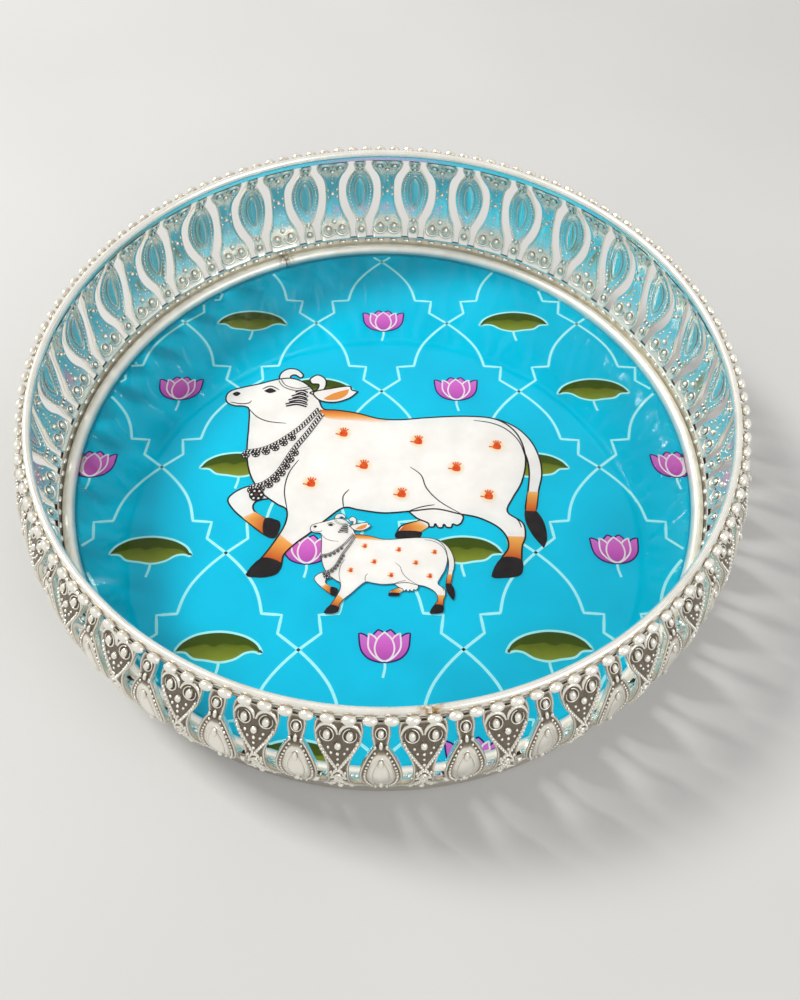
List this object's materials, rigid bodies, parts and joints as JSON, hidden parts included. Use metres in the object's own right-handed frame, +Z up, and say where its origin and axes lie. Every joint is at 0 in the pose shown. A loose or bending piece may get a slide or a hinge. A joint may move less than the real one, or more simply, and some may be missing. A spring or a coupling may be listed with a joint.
{
  "type": "round thali tray with a pierced gallery",
  "caption": "Round ritual tray: a picture under a clear cover in a shallow silver-metal pan, framed by a half-round ring, with a pierced barrel-shaped gallery and a rim moulding.",
  "frame": {"origin": "centre of the underside of the pan, on the surface the tray stands on", "axes": "+Z up along the tray's axis, +Y to the back as the picture is read, +X to the right"},
  "size_m": [0.2245, 0.2245, 0.0529],
  "materials": {
    "gallery_metal": "stamped nickel silver, polished on the raised figures and darker in the recesses",
    "moulding_metal": "polished nickel silver with fine handling marks",
    "pan_metal": "plain nickel silver sheet, satin",
    "board": "raw fibreboard, hidden",
    "picture": "printed sheet: lattice, lotuses, lily pads, a cow and her calf on turquoise",
    "cover": "clear, glossy, slightly uneven"
  },
  "bodies": {
    "root": {"base_pan": "pan_metal", "base_board": "board", "picture_disc": "picture", "clear_cover": "cover", "inner_ring": "moulding_metal", "gallery_strip_1": "gallery_metal", "gallery_strip_2": "gallery_metal", "gallery_strip_3": "gallery_metal", "rim_moulding": "moulding_metal"}
  },
  "joints": []
}
